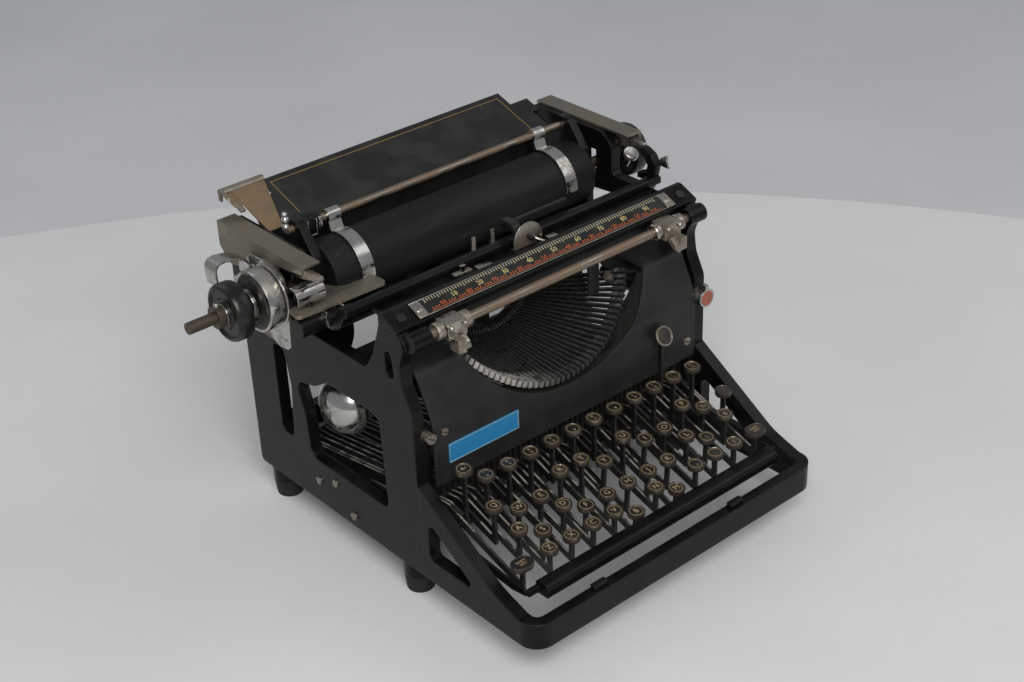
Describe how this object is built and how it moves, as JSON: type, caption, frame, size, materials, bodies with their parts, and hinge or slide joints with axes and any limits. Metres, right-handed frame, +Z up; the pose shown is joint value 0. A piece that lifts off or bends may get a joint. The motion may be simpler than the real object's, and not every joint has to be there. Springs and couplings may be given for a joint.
{
  "type": "typewriter",
  "caption": "Old upright front-strike office typewriter with four banks of round keys, a sliding carriage, an open frame and a curved type basket.",
  "frame": {"origin": "middle of the whole outline, on the table under the rubber feet", "axes": "+X to the typist's right, +Y away from the typist, +Z up"},
  "size_m": [0.387, 0.299, 0.2496],
  "materials": {
    "black_enamel": "gloss black japan",
    "nickel": "tarnished nickel plate",
    "bright_steel": "bare steel",
    "dark_steel": "browned steel",
    "platen_rubber": "matt black rubber",
    "foot_rubber": "matt rubber",
    "scale_face": "black-filled nickel scale",
    "copper_plate": "worn copper tone",
    "blue_badge": "blue enamel",
    "knob_black": "black hard rubber",
    "selector_red": "brick red enamel in a nickel cup"
  },
  "bodies": {
    "frame": {"side_frame_left": "black_enamel", "side_frame_right": "black_enamel", "front_frame": "black_enamel", "rear_frame": "black_enamel", "rubber_feet": "foot_rubber", "front_plate": "black_enamel", "badge_plate": "blue_badge", "lever_comb_and_shafts": "dark_steel", "type_bars_at_rest": "bright_steel", "type_segment": "black_enamel", "type_rest": "dark_steel", "bell_cranks": "dark_steel", "scale_bar": "black_enamel", "scale_plate": "scale_face", "margin_rod": "nickel", "carriage_rails": "bright_steel", "type_guide": "black_enamel", "bell": "nickel", "frame_screws": "nickel"},
    "carriage": {"carriage_frame": "black_enamel", "carriage_end_covers": "nickel", "carriage_rack": "bright_steel"},
    "shift_carrier": {"shift_frame": "black_enamel", "bail_rod": "nickel", "paper_table": "black_enamel"},
    "platen_unit": {"platen": "platen_rubber", "platen_shaft": "nickel", "platen_knobs": "knob_black", "line_space_ratchet": "nickel"},
    "key_row_1_body": {"key_row_1": "black_enamel"},
    "key_row_2_body": {"key_row_2": "black_enamel"},
    "key_row_3_body": {"key_row_3": "black_enamel"},
    "key_row_4_body": {"key_row_4": "black_enamel"},
    "type_key_a_body": {"type_key_a": "black_enamel"},
    "type_key_b_body": {"type_key_b": "black_enamel"},
    "keys_held_down_body": {"keys_held_down": "black_enamel"},
    "backspace_key_body": {"backspace_key": "black_enamel"},
    "margin_release_key_body": {"margin_release_key": "black_enamel"},
    "shift_keys_body": {"shift_keys": "black_enamel"},
    "space_bar_body": {"space_bar": "black_enamel"},
    "tabulator_key_body": {"tabulator_key": "black_enamel"},
    "type_bar_a_body": {"type_bar_a": "bright_steel"},
    "type_bar_b_body": {"type_bar_b": "bright_steel"},
    "margin_stop_left_body": {"margin_stop_left": "nickel"},
    "margin_stop_right_body": {"margin_stop_right": "nickel"},
    "escapement_wheel_body": {"escapement_wheel": "bright_steel"},
    "mainspring_drum_body": {"mainspring_drum": "nickel"},
    "paper_side_guide_body": {"paper_side_guide": "copper_plate"},
    "paper_finger_left_body": {"paper_finger_left": "nickel"},
    "paper_finger_right_body": {"paper_finger_right": "nickel"},
    "feed_roller_front_body": {"feed_roller_front": "platen_rubber"},
    "feed_roller_rear_body": {"feed_roller_rear": "platen_rubber"},
    "line_space_lever_body": {"line_space_lever": "nickel"},
    "release_lever_left_body": {"release_lever_left": "nickel"},
    "release_lever_right_body": {"release_lever_right": "nickel"},
    "ribbon_vibrator_body": {"ribbon_vibrator": "dark_steel"},
    "ribbon_selector_body": {"ribbon_selector": "selector_red"},
    "ribbon_spool_left_body": {"ribbon_spool_left": "dark_steel"},
    "ribbon_spool_right_body": {"ribbon_spool_right": "dark_steel"},
    "bell_hammer_body": {"bell_hammer": "dark_steel"}
  },
  "joints": [
    {"name": "key_row_1_press", "type": "hinge", "parent": "frame", "child": "key_row_1_body", "pos_m": [0.0255, 0.1185, 0.044], "axis": [1, 0, 0], "range_deg": [0, 3.05], "stiffness_Nm_per_rad": 2},
    {"name": "key_row_2_press", "type": "hinge", "parent": "frame", "child": "key_row_2_body", "pos_m": [0.0255, 0.1185, 0.044], "axis": [1, 0, 0], "range_deg": [0, 2.83], "stiffness_Nm_per_rad": 2},
    {"name": "key_row_3_press", "type": "hinge", "parent": "frame", "child": "key_row_3_body", "pos_m": [0.0255, 0.1185, 0.044], "axis": [1, 0, 0], "range_deg": [0, 2.62], "stiffness_Nm_per_rad": 2},
    {"name": "key_row_4_press", "type": "hinge", "parent": "frame", "child": "key_row_4_body", "pos_m": [0.0255, 0.1185, 0.044], "axis": [1, 0, 0], "range_deg": [0, 2.44], "stiffness_Nm_per_rad": 2},
    {"name": "held_keys_rise", "type": "hinge", "parent": "frame", "child": "keys_held_down_body", "pos_m": [0.0255, 0.1185, 0.044], "axis": [1, 0, 0], "range_deg": [-2.44, 0]},
    {"name": "backspace_press", "type": "hinge", "parent": "frame", "child": "backspace_key_body", "pos_m": [0.0255, 0.1185, 0.044], "axis": [1, 0, 0], "range_deg": [0, 2.43], "stiffness_Nm_per_rad": 2},
    {"name": "margin_release_press", "type": "hinge", "parent": "frame", "child": "margin_release_key_body", "pos_m": [0.0255, 0.1185, 0.044], "axis": [1, 0, 0], "range_deg": [0, 2.26], "stiffness_Nm_per_rad": 2},
    {"name": "tabulator_press", "type": "hinge", "parent": "frame", "child": "tabulator_key_body", "pos_m": [0.0255, 0.1185, 0.044], "axis": [1, 0, 0], "range_deg": [0, 1.86], "stiffness_Nm_per_rad": 2},
    {"name": "space_bar_press", "type": "hinge", "parent": "frame", "child": "space_bar_body", "pos_m": [0.0255, 0.1185, 0.044], "axis": [1, 0, 0], "range_deg": [0, 1.81], "stiffness_Nm_per_rad": 2},
    {"name": "type_bar_a_swing", "type": "hinge", "parent": "frame", "child": "type_bar_a_body", "pos_m": [0.02802, 0.03853, 0.12704], "axis": [-0.9992, -0.0252, -0.0301], "range_deg": [0, 96.23]},
    {"name": "type_key_a_press", "type": "hinge", "parent": "frame", "child": "type_key_a_body", "pos_m": [0.0255, 0.1185, 0.044], "axis": [1, 0, 0], "range_deg": [0, 3.05]},
    {"name": "type_bar_b_swing", "type": "hinge", "parent": "frame", "child": "type_bar_b_body", "pos_m": [0.03054, 0.03863, 0.12715], "axis": [0.9969, 0.0504, 0.0601], "range_deg": [-96.11, 0]},
    {"name": "type_key_b_press", "type": "hinge", "parent": "frame", "child": "type_key_b_body", "pos_m": [0.0255, 0.1185, 0.044], "axis": [1, 0, 0], "range_deg": [0, 2.44]},
    {"name": "carriage_travel", "type": "slide", "parent": "frame", "child": "carriage", "axis": [1, 0, 0], "range_m": [-0.109, 0.08]},
    {"name": "escapement_turn", "type": "hinge", "parent": "frame", "child": "escapement_wheel_body", "pos_m": [0.0255, 0.1305, 0.1663], "axis": [0, 1, 0], "range_deg": [-644.7, 473.44]},
    {"name": "mainspring_wind", "type": "hinge", "parent": "frame", "child": "mainspring_drum_body", "pos_m": [-0.0545, 0.1305, 0.112], "axis": [0, 1, 0], "range_deg": [-250.81, 184.35]},
    {"name": "shift_lift", "type": "slide", "parent": "carriage", "child": "shift_carrier", "axis": [0, 0, 1], "range_m": [0, 0.0065]},
    {"name": "shift_keys_press", "type": "hinge", "parent": "frame", "child": "shift_keys_body", "pos_m": [0.0255, 0.1185, 0.044], "axis": [1, 0, 0], "range_deg": [0, 2.65]},
    {"name": "platen_turn", "type": "hinge", "parent": "shift_carrier", "child": "platen_unit", "pos_m": [0.0195, 0.0685, 0.2045], "axis": [1, 0, 0], "continuous": true},
    {"name": "feed_front_turn", "type": "hinge", "parent": "shift_carrier", "child": "feed_roller_front_body", "pos_m": [0.0195, 0.05771, 0.1778], "axis": [1, 0, 0], "continuous": true},
    {"name": "feed_rear_turn", "type": "hinge", "parent": "shift_carrier", "child": "feed_roller_rear_body", "pos_m": [0.0195, 0.07929, 0.1778], "axis": [1, 0, 0], "continuous": true},
    {"name": "paper_finger_left_lift", "type": "hinge", "parent": "shift_carrier", "child": "paper_finger_left_body", "pos_m": [-0.0705, 0.0815, 0.2365], "axis": [1, 0, 0], "range_deg": [-40, 0]},
    {"name": "paper_finger_right_lift", "type": "hinge", "parent": "shift_carrier", "child": "paper_finger_right_body", "pos_m": [0.1095, 0.0815, 0.2365], "axis": [1, 0, 0], "range_deg": [-40, 0]},
    {"name": "side_guide_slide", "type": "slide", "parent": "shift_carrier", "child": "paper_side_guide_body", "axis": [1, 0, 0], "range_m": [0, 0.05]},
    {"name": "line_space_push", "type": "hinge", "parent": "carriage", "child": "line_space_lever_body", "pos_m": [-0.1235, 0.0365, 0.2042], "axis": [0, 0, 1], "range_deg": [-15, 0]},
    {"name": "release_left_pull", "type": "hinge", "parent": "carriage", "child": "release_lever_left_body", "pos_m": [-0.1215, 0.0481, 0.226], "axis": [1, 0, 0], "range_deg": [0, 12]},
    {"name": "release_right_pull", "type": "hinge", "parent": "carriage", "child": "release_lever_right_body", "pos_m": [0.1605, 0.0481, 0.226], "axis": [1, 0, 0], "range_deg": [0, 12]},
    {"name": "margin_left_slide", "type": "slide", "parent": "frame", "child": "margin_stop_left_body", "axis": [1, 0, 0], "range_m": [0, 0.085]},
    {"name": "margin_right_slide", "type": "slide", "parent": "frame", "child": "margin_stop_right_body", "axis": [1, 0, 0], "range_m": [-0.085, 0]},
    {"name": "ribbon_lift", "type": "slide", "parent": "frame", "child": "ribbon_vibrator_body", "axis": [0, 0, 1], "range_m": [0, 0.009]},
    {"name": "ribbon_select", "type": "hinge", "parent": "frame", "child": "ribbon_selector_body", "pos_m": [0.1515, -0.0395, 0.137], "axis": [0, 1, 0], "range_deg": [-30, 30]},
    {"name": "spool_left_turn", "type": "hinge", "parent": "frame", "child": "ribbon_spool_left_body", "pos_m": [-0.0715, 0.001, 0.15], "axis": [0, 0, 1], "continuous": true},
    {"name": "spool_right_turn", "type": "hinge", "parent": "frame", "child": "ribbon_spool_right_body", "pos_m": [0.1225, 0.001, 0.15], "axis": [0, 0, 1], "continuous": true},
    {"name": "hammer_swing", "type": "hinge", "parent": "frame", "child": "bell_hammer_body", "pos_m": [-0.0824, 0.06048, 0.12425], "axis": [1, 0, 0], "range_deg": [-12, 0]}
  ],
  "couplings": [
    {"joint": "type_key_a_press", "follows": "type_bar_a_swing", "ratio": 0.031659},
    {"joint": "type_key_b_press", "follows": "type_bar_b_swing", "ratio": -0.025357},
    {"joint": "escapement_turn", "follows": "carriage_travel", "rad_per_m": 103.07},
    {"joint": "mainspring_wind", "follows": "carriage_travel", "rad_per_m": 40},
    {"joint": "shift_keys_press", "follows": "shift_lift", "rad_per_m": 6.9813},
    {"joint": "feed_front_turn", "follows": "platen_turn", "ratio": -3.75},
    {"joint": "feed_rear_turn", "follows": "platen_turn", "ratio": -3.75},
    {"joint": "spool_right_turn", "follows": "spool_left_turn", "ratio": 1}
  ]
}
